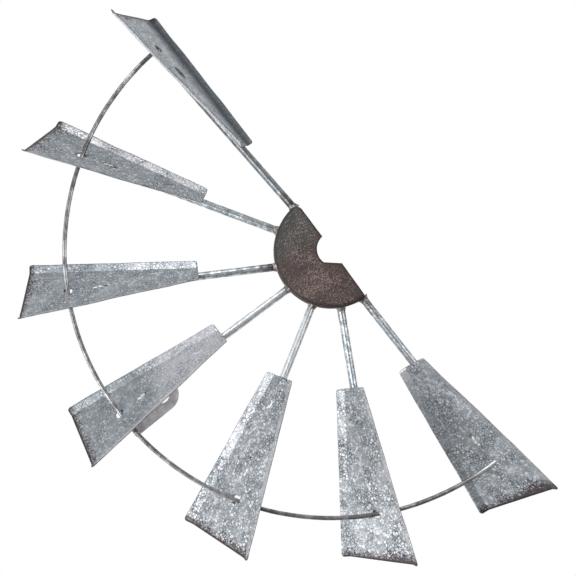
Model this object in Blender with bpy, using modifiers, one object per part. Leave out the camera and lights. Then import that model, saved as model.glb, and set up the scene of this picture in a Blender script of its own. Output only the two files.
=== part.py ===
"""Half windmill wall ornament: seven pitched blades on spokes around a half hub, tied together by one ring.

Metres, +Z up as it hangs, its front toward -Y and the wall behind it at +Y. The origin is the middle of the
hanging hole. Angles turn about the hub's axis from +X toward +Z, and a depth is measured forward (-Y) from
the plane of the spokes.
"""

import math

import bmesh
import bpy
from mathutils import Matrix, Vector

GAP = 0.0003  # clearance kept where two pieces touch

HUB_RADIUS = 0.069
HUB_SHEET = 0.002
HUB_FACE_DEPTH = 0.013  # front of the hub's shoulder, ahead of the spokes
HUB_CROWN = 0.002
HUB_SHOULDER = 0.005
HUB_BACK_DEPTH = -0.006
HUB_CUT_HEIGHT = 0.002  # the straight cut passes this far above the hub's centre
HUB_CUT_TILT = math.radians(-2.4)
HUB_EYE_RADIUS = 0.020
HUB_EYE_TORCH_ANGLE = math.radians(108)  # past this the eye was cut straight to the edge
HUB_CORNERS = (0.007, 0.0035)  # rounding of the cut's ends, at +X and at -X
HUB_NICK = 0.003  # rounding of the corner between the eye and the cut, at +X

SPOKE_DIAMETER = 0.0096
SPOKE_OUTER = 0.286

BLADE_INNER = 0.1685
BLADE_OUTER = 0.380
BLADE_INNER_HALF = 0.012
BLADE_OUTER_HALF = 0.048
BLADE_SHEET = 0.001
BLADE_SET_OVER = 0.0022  # the panel's middle line is this far past the spoke
LIP_WIDTH = 0.0112
LIP_BEND = math.radians(28.5)
FOLD_RADIUS = 0.002
SLOT_AT = 0.288
SLOT_LENGTH = 0.018
SLOT_WIDTH = 0.0038
MARKS_OVER = 0.0052  # the ring hole's middle, past the panel's middle line
SLOT_OVER = 0.0028
INNER_WELD_AT = 0.211

RING_RADIUS = 0.325
RING_ROD = 0.0053
RING_DEPTH = 0.0092
RING_START = math.radians(2.25)
RING_END = math.radians(179.1)

TAB_SHEET = 0.0025
TAB_EYE_RADIUS = 0.0232
TAB_HOLE_RADIUS = 0.012
TAB_STEM_SIDE = 0.009
TAB_LEAN = math.radians(16.5)  # the tab leans back toward the wall, from the ring to behind spoke 4
TAB_HOLE_X = -0.0058  # the hanging hole, from the hub's centre
TAB_HOLE_Z = 0.2747
TAB_PAST_RING = 0.0028

# Welds, with the half sizes of beads given along, forward and across.
ROOT_WELD_LENGTH = 0.0095
ROOT_WELD_FLARE = 0.0030  # how far it stands off the spoke against the hub's rim
ROOT_WELD_WAIST = (0.0013, 0.003)  # its stand-off partway, and how far along that is
ROOT_WELD_TIP = 0.0008
SLOT_WELD = (0.0082, 0.0011, 0.0015)
SEAM_WELD = (0.0080, 0.0016, 0.0012)
SEAM_WELD_BACK = 0.54  # how far behind the panel the seam's bead lies, as a share of the spoke's radius
RING_TACK = (0.0009, 0.0009, 0.0016)
RING_TACK_BESIDE = 0.0015  # from the middle of the ring's hole, across the blade
TAB_WELD = (0.0110, 0.0015, 0.0015)
TAB_WELD_ACROSS = -0.0075

# Each arm as it was welded up: the angle where it crosses the ring, how far it is turned about that point,
# the blade's pitch, all in degrees, and how far the blade is slid outward, in metres.
ARMS = (
    (2.5, 0.0, 61.0, -0.0020),
    (31.0, 0.0, 54.0, 0.0010),
    (60.5, -2.0, 51.0, -0.0025),
    (89.0, -1.0, 49.0, 0.0015),
    (120.0, -0.5, 45.5, -0.0015),
    (150.5, 0.0, 51.0, 0.0015),
    (178.5, 1.0, 49.0, 0.0010),
)

# The hole for the ring in each arm's blade: how far its middle lies outward of the ring, its width along the
# arm and its length across it. Last, the side the ring is tacked on: 1 for the front, -1 for the back.
RING_HOLES = (
    (0.0, 0.0060, 0.0078, -1),
    (0.0014, 0.0087, 0.0115, 1),
    (-0.0014, 0.0087, 0.0115, 1),
    (0.0014, 0.0087, 0.0115, 1),
    (-0.0014, 0.0087, 0.0115, 1),
    (0.0007, 0.0074, 0.0115, 1),
    (0.0, 0.0064, 0.0094, 1),
)

BLADE_OFFSET = SPOKE_DIAMETER / 2 + BLADE_SHEET / 2 + GAP  # spoke's axis to the panel's middle surface


def ring_above_hole():
    """How far straight above the hanging hole the ring passes."""
    return math.sqrt(RING_RADIUS**2 - TAB_HOLE_X**2) - TAB_HOLE_Z


def hub_centre():
    """The hub's centre, placed so that the leaning tab passes a gap behind the ring's rod."""
    from_ring = RING_ROD / 2 + GAP + TAB_SHEET / 2
    hole_depth = RING_DEPTH - (from_ring + ring_above_hole() * math.sin(TAB_LEAN)) / math.cos(TAB_LEAN)
    return Vector((-TAB_HOLE_X, hole_depth, -TAB_HOLE_Z))


def turn(angle, axis):
    return Matrix.Rotation(angle, 4, axis)


def arm_frame(arm):
    """X runs outward along the spoke, Z across it toward the next arm, and -Y forward."""
    angle, skew = math.radians(arm[0]), math.radians(arm[1])
    to_ring = Matrix.Translation((RING_RADIUS, 0, 0))
    about_ring = to_ring @ turn(-skew, "Y") @ to_ring.inverted()
    return Matrix.Translation(hub_centre()) @ turn(-angle, "Y") @ about_ring


def blade_frame(arm):
    """The arm's frame pitched with the blade, its origin on the panel's middle line under the hub's axis."""
    pitched = turn(math.radians(arm[2]), "X") @ Matrix.Translation((0, -BLADE_OFFSET, BLADE_SET_OVER))
    return arm_frame(arm) @ Matrix.Translation((arm[3], 0, 0)) @ pitched


def on_ring(angle, radius=RING_RADIUS, depth=RING_DEPTH):
    return hub_centre() + Vector((radius * math.cos(angle), -depth, radius * math.sin(angle)))


def linear(value):
    return value / 12.92 if value <= 0.04045 else ((value + 0.055) / 1.055) ** 2.4


def material(name, colour, metallic, roughness):
    """A Principled material from an sRGB hex colour."""
    made = bpy.data.materials.new(name)
    made.use_nodes = True
    shader = made.node_tree.nodes["Principled BSDF"]
    rgb = [linear(int(colour[i : i + 2], 16) / 255) for i in (1, 3, 5)]
    shader.inputs["Base Color"].default_value = (*rgb, 1)
    shader.inputs["Metallic"].default_value = metallic
    shader.inputs["Roughness"].default_value = roughness
    return made


def add_object(name, data, collection, finish=None, matrix=None):
    obj = bpy.data.objects.new(name, data)
    collection.objects.link(obj)
    if finish:
        data.materials.append(finish)
    if matrix:
        obj.matrix_world = matrix
    return obj


def mesh_of(name, bm):
    bmesh.ops.recalc_face_normals(bm, faces=bm.faces)
    mesh = bpy.data.meshes.new(name)
    bm.to_mesh(mesh)
    bm.free()
    return mesh


def smooth(mesh, sharp=math.radians(35)):
    mesh.shade_smooth()
    mesh.set_sharp_from_angle(angle=sharp)


def add_cutter(name, mesh, matrix=None):
    obj = add_object(name, mesh, cutters, matrix=matrix)
    obj.hide_render = True
    obj.display_type = "WIRE"
    return obj


def boolean(obj, cutter, operation):
    modifier = obj.modifiers.new(cutter.name, "BOOLEAN")
    modifier.operation = operation
    modifier.object = cutter


def arc(centre, radius, start, end, count):
    """Points along an arc, both ends included."""
    angles = [start + (end - start) * i / count for i in range(count + 1)]
    return [(centre[0] + radius * math.cos(a), centre[1] + radius * math.sin(a)) for a in angles]


def prism(bm, outline, half):
    """A closed outline in the XZ plane, made solid from -half to +half along Y."""
    corners = [bm.verts.new((x, -half, z)) for x, z in outline]
    face = bm.faces.new(corners)
    grown = bmesh.ops.extrude_face_region(bm, geom=[face])["geom"]
    moved = [item for item in grown if isinstance(item, bmesh.types.BMVert)]
    bmesh.ops.translate(bm, verts=moved, vec=(0, 2 * half, 0))


def flat_piece(name, outlines, thickness, collection, finish, matrix):
    """A flat plate in the XY plane of its matrix: a filled curve of an outline and its holes, as a mesh."""
    curve = bpy.data.curves.new(name, "CURVE")
    curve.dimensions = "2D"
    curve.fill_mode = "BOTH"
    curve.extrude = thickness / 2
    for outline in outlines:
        spline = curve.splines.new("POLY")
        spline.points.add(len(outline) - 1)
        for point, (x, y) in zip(spline.points, outline):
            point.co = (x, y, 0, 1)
        spline.use_cyclic_u = True
    guide = add_object(name + "_outline", curve, collection)
    bpy.context.view_layer.update()
    mesh = bpy.data.meshes.new_from_object(guide.evaluated_get(bpy.context.evaluated_depsgraph_get()))
    bpy.data.objects.remove(guide)
    bm = bmesh.new()
    bm.from_mesh(mesh)
    bmesh.ops.remove_doubles(bm, verts=bm.verts, dist=0.00001)
    bpy.data.meshes.remove(mesh)
    return add_object(name, mesh_of(name, bm), collection, finish, matrix)


def hub_keep_outline():
    """What the torch left of the round hub: everything above a straight cut, less the half-round eye."""
    height = HUB_CUT_HEIGHT
    beyond = HUB_RADIUS * 1.2
    points = []
    for side, corner in zip((1, -1), HUB_CORNERS):
        reach = HUB_RADIUS - corner
        middle = (side * math.sqrt(reach**2 - (height + corner) ** 2), height + corner)
        tangent = math.atan2(middle[1], middle[0])
        end = tangent if side > 0 else tangent - 2 * math.pi
        points.append(arc(middle, corner, -math.pi / 2, end, 6))
    right, left = points
    right_out = [(beyond, right[-1][1]), (beyond, beyond), (-beyond, beyond), (-beyond, left[-1][1])]
    nick_up = height + HUB_NICK
    nick_out = math.sqrt((HUB_EYE_RADIUS + HUB_NICK) ** 2 - nick_up**2)
    facing = math.atan2(-nick_up, -nick_out)
    rounded = arc((nick_out, nick_up), HUB_NICK, facing, -math.pi / 2, 4)
    eye = arc((0, 0), HUB_EYE_RADIUS, HUB_EYE_TORCH_ANGLE, math.atan2(nick_up, nick_out), 14)
    torch_corner = [(-HUB_EYE_RADIUS, height)]
    return torch_corner + eye + rounded[1:] + right + right_out + left[::-1]


def make_hub(finish):
    """A crowned disc with a rolled rim, turned as a shell, then cut to a little less than half."""
    flat_radius = HUB_RADIUS - HUB_SHOULDER
    bm = bmesh.new()
    profile = []
    for i in range(5):
        out = HUB_EYE_RADIUS * 0.5 + (flat_radius - HUB_EYE_RADIUS * 0.5) * i / 4
        profile.append((out, HUB_FACE_DEPTH + HUB_CROWN * (1 - (out / flat_radius) ** 2)))
    shoulder = arc((flat_radius, HUB_FACE_DEPTH - HUB_SHOULDER), HUB_SHOULDER, math.pi / 2, 0, 5)
    profile += shoulder[1:] + [(HUB_RADIUS, HUB_BACK_DEPTH)]
    verts = [bm.verts.new((x, 0, z)) for x, z in profile]
    for pair in zip(verts, verts[1:]):
        bm.edges.new(pair)
    mesh = bpy.data.meshes.new("hub_plate")
    bm.to_mesh(mesh)
    bm.free()
    frame = Matrix.Translation(hub_centre()) @ turn(math.pi / 2, "X")
    hub = add_object("hub_plate", mesh, ornament, finish, frame)
    screw = hub.modifiers.new("Turn", "SCREW")
    screw.steps = 72
    screw.render_steps = 72
    screw.use_merge_vertices = True
    screw.merge_threshold = 0.00005
    screw.use_smooth_shade = True
    wall = hub.modifiers.new("Wall", "SOLIDIFY")
    wall.thickness = HUB_SHEET
    wall.offset = -1
    wall.use_even_offset = True
    bm = bmesh.new()
    prism(bm, hub_keep_outline(), 0.05)
    keep_frame = Matrix.Translation(hub_centre()) @ turn(-HUB_CUT_TILT, "Y")
    boolean(hub, add_cutter("hub_keep", mesh_of("hub_keep", bm), keep_frame), "INTERSECT")
    return hub


def spoke_root(arm):
    """Where the spoke starts along its arm, square end clear of the hub's round rim."""
    skew = math.radians(arm[1])
    miss = RING_RADIUS * math.sin(abs(skew))
    reach = math.sqrt((HUB_RADIUS + GAP) ** 2 - miss**2)
    lean = math.asin(miss / HUB_RADIUS)
    return RING_RADIUS * (1 - math.cos(skew)) + reach + SPOKE_DIAMETER / 2 * math.tan(lean)


def make_spoke(name, arm, finish):
    start = spoke_root(arm)
    bm = bmesh.new()
    half = SPOKE_DIAMETER / 2
    length = SPOKE_OUTER - start
    bmesh.ops.create_cone(bm, cap_ends=True, segments=20, radius1=half, radius2=half, depth=length)
    mesh = mesh_of(name, bm)
    smooth(mesh)
    middle = Matrix.Translation(((SPOKE_OUTER + start) / 2, 0, 0)) @ turn(math.pi / 2, "Y")
    return add_object(name, mesh, ornament, finish, arm_frame(arm) @ middle)


def blade_section(half):
    """Across the blade at one end: lip, rounded fold, flat panel, fold, lip, as (forward, across) pairs."""
    reach = FOLD_RADIUS * math.tan(LIP_BEND / 2)
    side = [(0, half - reach)]
    middle = LIP_BEND / 2
    side.append((FOLD_RADIUS * (1 - math.cos(middle)), half - reach + FOLD_RADIUS * math.sin(middle)))
    for run in (reach, LIP_WIDTH):
        side.append((run * math.sin(LIP_BEND), half + run * math.cos(LIP_BEND)))
    return [(forward, -across) for forward, across in side[::-1]] + side


def oblong(length, width, count=8):
    """A slot's outline, long along its first axis, with round ends."""
    middle = (length - width) / 2
    right = arc((middle, 0), width / 2, -math.pi / 2, math.pi / 2, count)
    return right + [(-x, -y) for x, y in right]


def make_blade(name, arm, ring_hole, finish):
    """A folded trapezoid of sheet with a hole for the ring and a slot for the spoke's end weld."""
    bm = bmesh.new()
    rows = []
    for out, half in ((BLADE_INNER, BLADE_INNER_HALF), (BLADE_OUTER, BLADE_OUTER_HALF)):
        rows.append([bm.verts.new((out, -forward, across)) for forward, across in blade_section(half)])
    for i in range(len(rows[0]) - 1):
        bm.faces.new((rows[0][i], rows[0][i + 1], rows[1][i + 1], rows[1][i]))
    blade = add_object(name, mesh_of(name, bm), ornament, finish, blade_frame(arm))
    sheet = blade.modifiers.new("Sheet", "SOLIDIFY")
    sheet.thickness = BLADE_SHEET
    sheet.offset = 0
    sheet.use_even_offset = True
    bm = bmesh.new()
    outward, width, length, _ = ring_hole
    middle = RING_RADIUS + outward - arm[3]
    hole = [(middle + x, MARKS_OVER + z) for z, x in oblong(length, width)]
    prism(bm, hole, 0.006)
    slot = [(SLOT_AT + x, SLOT_OVER + z) for x, z in oblong(SLOT_LENGTH, SLOT_WIDTH)]
    prism(bm, slot, 0.006)
    boolean(blade, add_cutter(name + "_holes", mesh_of(name, bm), blade_frame(arm)), "DIFFERENCE")
    return blade


def make_ring(finish):
    curve = bpy.data.curves.new("ring_rod", "CURVE")
    curve.dimensions = "3D"
    curve.bevel_depth = RING_ROD / 2
    curve.bevel_resolution = 2
    curve.use_fill_caps = True
    spline = curve.splines.new("POLY")
    steps = 60
    spline.points.add(steps)
    for i, point in enumerate(spline.points):
        point.co = (*on_ring(RING_START + (RING_END - RING_START) * i / steps), 1)
    return add_object("ring_rod", curve, ornament, finish)


def make_tab(finish):
    """A strap with a round eye at its lower end, its other end behind the ring."""
    stem_angle = math.acos(TAB_STEM_SIDE / TAB_EYE_RADIUS)
    outline = arc((0, 0), TAB_EYE_RADIUS, math.pi, 2 * math.pi + stem_angle, 28)
    length = ring_above_hole() / math.cos(TAB_LEAN) + TAB_PAST_RING
    outline += [(TAB_STEM_SIDE, length), (-TAB_EYE_RADIUS, length)]
    hole = arc((0, 0), TAB_HOLE_RADIUS, 0, 2 * math.pi, 28)[:-1]
    frame = turn(math.pi / 2 + TAB_LEAN, "X")
    return flat_piece("hanging_tab", (outline, hole), TAB_SHEET, ornament, finish, frame)


def make_bead(name, sizes, matrix, finish):
    """A weld bead, a ball drawn out along X, Y and Z to the given half sizes."""
    bm = bmesh.new()
    bmesh.ops.create_uvsphere(bm, u_segments=12, v_segments=6, radius=1)
    bmesh.ops.scale(bm, vec=sizes, verts=bm.verts)
    mesh = mesh_of(name, bm)
    mesh.shade_smooth()
    return add_object(name, mesh, ornament, finish, matrix)


def make_root_weld(name, arm, finish):
    """The flared collar of weld around a spoke where it meets the hub's rim."""
    inner = SPOKE_DIAMETER / 2 + GAP
    lean = math.asin(RING_RADIUS * math.sin(abs(math.radians(arm[1]))) / HUB_RADIUS)
    start = spoke_root(arm) + (inner + ROOT_WELD_FLARE) * math.tan(lean) + GAP
    waist, waist_at = ROOT_WELD_WAIST
    profile = (
        (inner + ROOT_WELD_TIP, ROOT_WELD_LENGTH),
        (inner + waist, waist_at),
        (inner + ROOT_WELD_FLARE, 0.0),
        (inner, 0.0),
        (inner, ROOT_WELD_LENGTH),
    )
    bm = bmesh.new()
    verts = [bm.verts.new((x, 0, z)) for x, z in profile]
    for i in range(len(verts)):
        bm.edges.new((verts[i], verts[(i + 1) % len(verts)]))
    mesh = bpy.data.meshes.new(name)
    bm.to_mesh(mesh)
    bm.free()
    collar = add_object(name, mesh, ornament, finish)
    collar.matrix_world = arm_frame(arm) @ Matrix.Translation((start, 0, 0)) @ turn(math.pi / 2, "Y")
    screw = collar.modifiers.new("Turn", "SCREW")
    screw.steps = 16
    screw.render_steps = 16
    screw.use_merge_vertices = True
    screw.merge_threshold = 0.00005
    return collar


def make_arm(number, arm, ring_hole):
    """One spoke with its blade and the welds that hold them."""
    make_spoke(f"spoke_{number}", arm, zinc)
    make_blade(f"blade_{number}", arm, ring_hole, zinc)
    make_root_weld(f"hub_weld_{number}", arm, weld)
    frame = blade_frame(arm)
    slot = frame @ Matrix.Translation((SLOT_AT, 0, SLOT_OVER))
    make_bead(f"slot_weld_{number}", SLOT_WELD, slot, weld)
    seam = arm_frame(arm) @ turn(math.radians(arm[2]), "X")
    half = SPOKE_DIAMETER / 2
    beside = Matrix.Translation((INNER_WELD_AT, -half * SEAM_WELD_BACK, half + SEAM_WELD[2]))
    make_bead(f"seam_weld_{number}", SEAM_WELD, seam @ beside, weld)
    outward, _, _, face = ring_hole
    beside_ring = (RING_ROD / 2 + GAP + RING_TACK[0]) * (-1 if outward >= 0 else 1)
    off_sheet = BLADE_SHEET / 2 + GAP + RING_TACK[1]
    across = MARKS_OVER - face * RING_TACK_BESIDE
    place = Matrix.Translation((RING_RADIUS - arm[3] + beside_ring, -face * off_sheet, across))
    make_bead(f"ring_tack_{number}", RING_TACK, frame @ place, weld)


def make_tab_weld(finish):
    """The bead in the corner between the ring and the tab's front, on the hub's side."""
    bead = TAB_WELD[1]
    up_rod = RING_ROD / 2 + GAP
    off_tab = bead + GAP
    along = math.sqrt((up_rod + bead) ** 2 - (up_rod - off_tab) ** 2)
    ring_up = ring_above_hole() / math.cos(TAB_LEAN)
    corner_shift = (up_rod + TAB_SHEET / 2) * math.tan(TAB_LEAN)
    frame = turn(math.pi / 2 + TAB_LEAN, "X")
    place = Matrix.Translation((TAB_WELD_ACROSS, ring_up + corner_shift - along, TAB_SHEET / 2 + off_tab))
    make_bead("tab_weld", TAB_WELD, frame @ place, finish)


for old in list(bpy.data.objects):
    bpy.data.objects.remove(old)
ornament = bpy.data.collections.new("half_windmill")
cutters = bpy.data.collections.new("cutters")
bpy.context.scene.collection.children.link(ornament)
bpy.context.scene.collection.children.link(cutters)
zinc = material("galvanised_sheet", "#8D969C", 0.75, 0.5)
rust = material("rusted_steel", "#4B3F3E", 0.3, 0.75)
rod = material("weathered_rod", "#6E6A68", 0.6, 0.55)
weld = material("weld_metal", "#6B6260", 0.6, 0.6)

make_hub(rust)
make_ring(rod)
make_tab(zinc)
make_tab_weld(weld)
for index, (welded_arm, punched_hole) in enumerate(zip(ARMS, RING_HOLES), start=1):
    make_arm(index, welded_arm, punched_hole)
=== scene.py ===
"""The half windmill: rust-edged galvanised blades on rods round a rusted half hub, hung by its tab."""

import math

import bpy
import numpy as np
from mathutils import Matrix, Vector


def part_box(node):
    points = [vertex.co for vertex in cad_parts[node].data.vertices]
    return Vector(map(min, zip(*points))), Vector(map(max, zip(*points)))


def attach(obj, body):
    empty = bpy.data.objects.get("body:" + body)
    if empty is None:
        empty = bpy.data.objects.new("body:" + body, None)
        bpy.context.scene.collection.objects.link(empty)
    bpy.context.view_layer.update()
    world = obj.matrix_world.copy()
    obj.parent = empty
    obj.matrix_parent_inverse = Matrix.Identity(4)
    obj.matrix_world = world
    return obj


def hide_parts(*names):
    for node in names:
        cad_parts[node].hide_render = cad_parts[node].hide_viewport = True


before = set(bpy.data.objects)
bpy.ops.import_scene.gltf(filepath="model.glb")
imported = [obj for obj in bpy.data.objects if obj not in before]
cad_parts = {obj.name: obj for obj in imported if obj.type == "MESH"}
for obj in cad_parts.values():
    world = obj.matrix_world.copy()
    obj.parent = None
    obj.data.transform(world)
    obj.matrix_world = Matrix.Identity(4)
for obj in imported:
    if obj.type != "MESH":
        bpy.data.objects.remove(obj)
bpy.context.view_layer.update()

MM = 0.001
CLEARANCE = 0.3 * MM  # left where two pieces touch

# The wheel, as the frame has it. Angles turn about the hub's axis from +X toward +Z, and a depth is measured
# forward (-Y) from the plane of the spokes.
HUB_CENTRE = np.array([0.0058, -0.0100646, -0.2747])
HUB_RADIUS = 69 * MM
HUB_SHEET = 2 * MM
HUB_FACE_DEPTH = 13 * MM
HUB_CROWN = 2 * MM
HUB_SHOULDER = 5 * MM
HUB_BACK_DEPTH = -6 * MM
HUB_CUT_HEIGHT = 2 * MM
HUB_CUT_TILT = math.radians(-2.4)
HUB_EYE_RADIUS = 20 * MM
HUB_EYE_TORCH_ANGLE = math.radians(108)
HUB_CORNERS = (7 * MM, 3.5 * MM)  # radii where the cut meets the rim, at the first arm and at the last

SPOKE_RADIUS = 4.8 * MM
SPOKE_OUTER = 286 * MM

BLADE_INNER = 168.5 * MM
BLADE_OUTER = 380 * MM
BLADE_INNER_HALF = 12 * MM
BLADE_OUTER_HALF = 48 * MM
BLADE_SHEET = 1 * MM
BLADE_SET_OVER = 2.2 * MM
BLADE_OFFSET = SPOKE_RADIUS + BLADE_SHEET / 2 + CLEARANCE
LIP_WIDTH = 11.2 * MM
LIP_BEND = math.radians(28.5)
FOLD_RADIUS = 2 * MM
BLADE_CORNER = 3 * MM
BLADE_WAVE = 0.45 * MM
SLOT = (288 * MM, 2.8 * MM, 18 * MM, 3.8 * MM)  # middle along the blade, middle across, length, width
RING_HOLE_OVER = 5.2 * MM
INNER_WELD_AT = 211 * MM  # along the spoke, for the seam on the blade's back
# The mark that a weld behind the panel leaves on it: its place along and across, the side of its painted
# highlight, its radius.
MARK_PLACE = (203 * MM, -6.0 * MM)
MARK_HIGHLIGHT_SIDE = (0.38, 0.92, 0.0)
MARK_RADIUS = 6.5 * MM
# How clearly each blade shows its plug weld with a painted highlight, its slot's pale surround, the painted
# shade and scorching round its slot and ring hole, and its etching.
MARKS = (
    (0.0, 0.0, 1.0, 0.6),
    (0.0, 0.2, 0.45, 0.75),
    (0.3, 0.4, 0.0, 0.68),
    (0.45, 0.3, 0.0, 0.62),
    (1.0, 0.6, 0.0, 1.0),
    (0.35, 1.0, 0.0, 1.0),
    (0.3, 0.8, 0.0, 0.9),
)
# How pale each blade's lip toward the last arm is, partly paler zinc and partly a painted sheen on the bent
# lip, how much paler inward, how pale the panel is inward, and how far outward that starts.
PALE_ZINC_AND_SHEEN = (
    (0.0, 0.0, 0.0, 250 * MM),
    (0.60, 0.0, 0.0, 250 * MM),
    (0.0, 0.25, 0.0, 260 * MM),
    (0.0, 0.50, 0.60, 265 * MM),
    (0.0, 0.35, 0.0, 270 * MM),
    (0.05, 0.1, 0.0, 240 * MM),
    (0.12, 0.8, 0.0, 185 * MM),
)
# How bright each blade's lip toward the next arm is made: a painted highlight along that narrow lip.
NEXT_LIP_HIGHLIGHT = (0.95, 0.4, 0.6, 0.6, 0.5, 0.7, 0.35)
# How much farther each blade has rusted inward at its outer end's corner toward the next arm.
RUSTING = (0, 0, 0, 0, 3 * MM, 6 * MM, 9 * MM)
# How far the etching fades where each blade is pale.
SMOOTHED = (0.0, 0.0, 0.0, 0.3, 0.8, 0.0, 0.8)
# How far each blade is darkened all over, part tarnish and part painted shade.
TARNISH_AND_SHADE = (0.0, 0.06, 0.07, 0.10, 0.06, 0.09, 0.13)
# How dull each spoke is, and how far it has browned toward the hub.
SPOKE_LOOKS = ((0.62, 1.0), (0.10, 0.3), (0.10, 1.0), (-0.35, 0.3), (-0.40, 0.3), (0.05, 0.4), (0.30, 0.6))

RING_RADIUS = 325 * MM
RING_ROD_RADIUS = 2.65 * MM
RING_DEPTH = 9.2 * MM
RING_START = math.radians(2.25)
RING_END = math.radians(179.1)

TAB_SHEET = 2.5 * MM
TAB_EYE_RADIUS = 23.2 * MM
TAB_HOLE_RADIUS = 12 * MM
TAB_STEM_SIDE = 9 * MM  # from the hole's middle to the strap's side next to the blade
TAB_LEAN = math.radians(16.5)
TAB_LENGTH = 55.2 * MM  # from the hole's middle to the end behind the ring

# Welds, with the half sizes of beads given along, forward and across.
ROOT_WELD_LENGTH = 10 * MM
ROOT_WELD_FLARE = 3.2 * MM  # how much wider it is against the hub's rim than at its tip
ROOT_WELD_SUNK = 0.3 * MM  # how far its tip lies inside the spoke
ROOT_WELD_POWER = 2.2
SEAM_BEAD = (8 * MM, 1.6 * MM, 1.4 * MM)
SEAM_BEAD_PLACE = (INNER_WELD_AT, -0.54 * SPOKE_RADIUS, SPOKE_RADIUS + 1.2 * MM)  # in the pitched arm's frame
RING_BEAD = (1.2 * MM, 0.9 * MM, 1.8 * MM)
RING_BEAD_BESIDE = 1.5 * MM  # from the middle of the ring's hole, across the blade
TAB_BEAD = (11 * MM, 1.7 * MM, 1.7 * MM)
BEAD_LUMP = 0.2  # how uneven a bead is, as a share of its size

# Each arm's angle at the ring, its turn about that point and its blade's pitch in degrees, then the slide of
# the blade along its spoke in metres.
ARMS = (
    (2.5, 0.0, 61.0, -0.0020),
    (31.0, 0.0, 54.0, 0.0010),
    (60.5, -2.0, 51.0, -0.0025),
    (89.0, -1.0, 49.0, 0.0015),
    (120.0, -0.5, 45.5, -0.0015),
    (150.5, 0.0, 51.0, 0.0015),
    (178.5, 1.0, 49.0, 0.0010),
)

# The hole for the ring in each arm's blade: how far its middle lies outward of the ring, its width along the
# arm and its length across it. Last, the side the ring is tacked on: 1 for the front, -1 for the back.
RING_HOLES = (
    (0.0, 6.0 * MM, 7.8 * MM, -1),
    (1.4 * MM, 8.7 * MM, 11.5 * MM, 1),
    (-1.4 * MM, 8.7 * MM, 11.5 * MM, 1),
    (1.4 * MM, 8.7 * MM, 11.5 * MM, 1),
    (-1.4 * MM, 8.7 * MM, 11.5 * MM, 1),
    (0.7 * MM, 7.4 * MM, 11.5 * MM, 1),
    (0.0, 6.4 * MM, 9.4 * MM, 1),
)


# ---------------------------------------------------------------------------------------------- frames


def turn(angle, axis):
    """The 4 by 4 matrix of a turn about an axis."""
    return np.array(Matrix.Rotation(angle, 4, axis))


def shift(x, y, z):
    """The 4 by 4 matrix of a move."""
    return np.array(Matrix.Translation((x, y, z)))


def moved(matrix, points):
    """Points (..., 3) carried by a 4 by 4 matrix."""
    return points @ matrix[:3, :3].T + matrix[:3, 3]


def arm_frame(arm):
    """X runs outward along the spoke, Z across it toward the next arm, and -Y forward."""
    about_ring = shift(RING_RADIUS, 0, 0) @ turn(-math.radians(arm[1]), "Y") @ shift(-RING_RADIUS, 0, 0)
    return shift(*HUB_CENTRE) @ turn(-math.radians(arm[0]), "Y") @ about_ring


def blade_frame(arm):
    """The arm's frame pitched with the blade, its origin on the panel's middle line under the hub's axis."""
    pitched = turn(math.radians(arm[2]), "X") @ shift(0, -BLADE_OFFSET, BLADE_SET_OVER)
    return arm_frame(arm) @ shift(arm[3], 0, 0) @ pitched


TAB_FRAME = turn(math.pi / 2 + TAB_LEAN, "X")  # X across the tab, Y up it toward the ring, Z out of its front


# ---------------------------------------------------------------------------------------------- meshes


def ripple(along, across, seed, waves=(1.0, 2.3, 4.1)):
    """A smooth uneven surface between about -1 and 1: products of sines along two ways, added up, with random
    phases. Finer waves are weaker."""
    phase = np.random.default_rng(seed).uniform(0, 2 * np.pi, (len(waves), 2))
    total = 0
    for wave, (first, second) in zip(waves, phase):
        total = total + np.sin(wave * along + first) * np.sin(wave * across + second) / wave**0.6
    return total / 1.4


def grid_faces(rows, columns, wrap=False):
    """Quads between neighbouring rows and columns of a grid. Its last column meets its first if it wraps."""
    row, column = np.meshgrid(np.arange(rows - 1), np.arange(columns if wrap else columns - 1), indexing="ij")
    beside = (column + 1) % columns
    this, following = row * columns, (row + 1) * columns
    corners = (this + column, this + beside, following + beside, following + column)
    return np.stack(corners, -1).reshape(-1, 4)


def piece(name, points, faces, material, replaced, values=None, extra_faces=()):
    """A mesh object riding on the one body, from (n, 3) points, faces and values kept as attributes."""
    mesh = bpy.data.meshes.new(name)
    mesh.from_pydata(points.tolist(), [], faces.tolist() + [list(face) for face in extra_faces])
    mesh.shade_smooth()
    for key, value in (values or {}).items():
        attribute = mesh.attributes.new(key, "FLOAT", "POINT")
        attribute.data.foreach_set("value", np.asarray(value, np.float32).ravel())
    mesh.materials.append(material)
    obj = bpy.data.objects.new(name, mesh)
    bpy.context.scene.collection.objects.link(obj)
    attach(obj, "root")
    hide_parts(*replaced)
    return obj


def capped(points):
    """Points and faces of a wrapped grid with a pole point added at the middle of its first and last rows."""
    rows, columns = points.shape[:2]
    flat = points.reshape(-1, 3)
    poles = np.array([points[0].mean(0), points[-1].mean(0)])
    start, end = len(flat), len(flat) + 1
    step = np.arange(columns)
    beside = (step + 1) % columns
    last = (rows - 1) * columns
    first_fan = np.stack([np.full(columns, start), beside, step], -1)
    last_fan = np.stack([np.full(columns, end), last + step, last + beside], -1)
    fans = np.vstack([first_fan, last_fan]).tolist()
    return np.vstack([flat, poles]), grid_faces(rows, columns, wrap=True), fans


def add_wall(obj, thickness, offset, rim_material=None):
    """Gives a surface its thickness, and its cut edges a material of their own if one is given."""
    wall = obj.modifiers.new("Wall", "SOLIDIFY")
    wall.thickness = thickness
    wall.offset = offset
    wall.use_even_offset = True
    if rim_material:
        obj.data.materials.append(rim_material)
        wall.material_offset_rim = 1


# ------------------------------------------------------------------------------------------- materials


def hex_colour(text):
    """Linear RGBA of an sRGB hex colour."""
    srgb = np.array([int(text[i : i + 2], 16) for i in (1, 3, 5)]) / 255
    rgb = np.where(srgb <= 0.04045, srgb / 12.92, ((srgb + 0.055) / 1.055) ** 2.4)
    return (*rgb.tolist(), 1.0)


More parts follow.
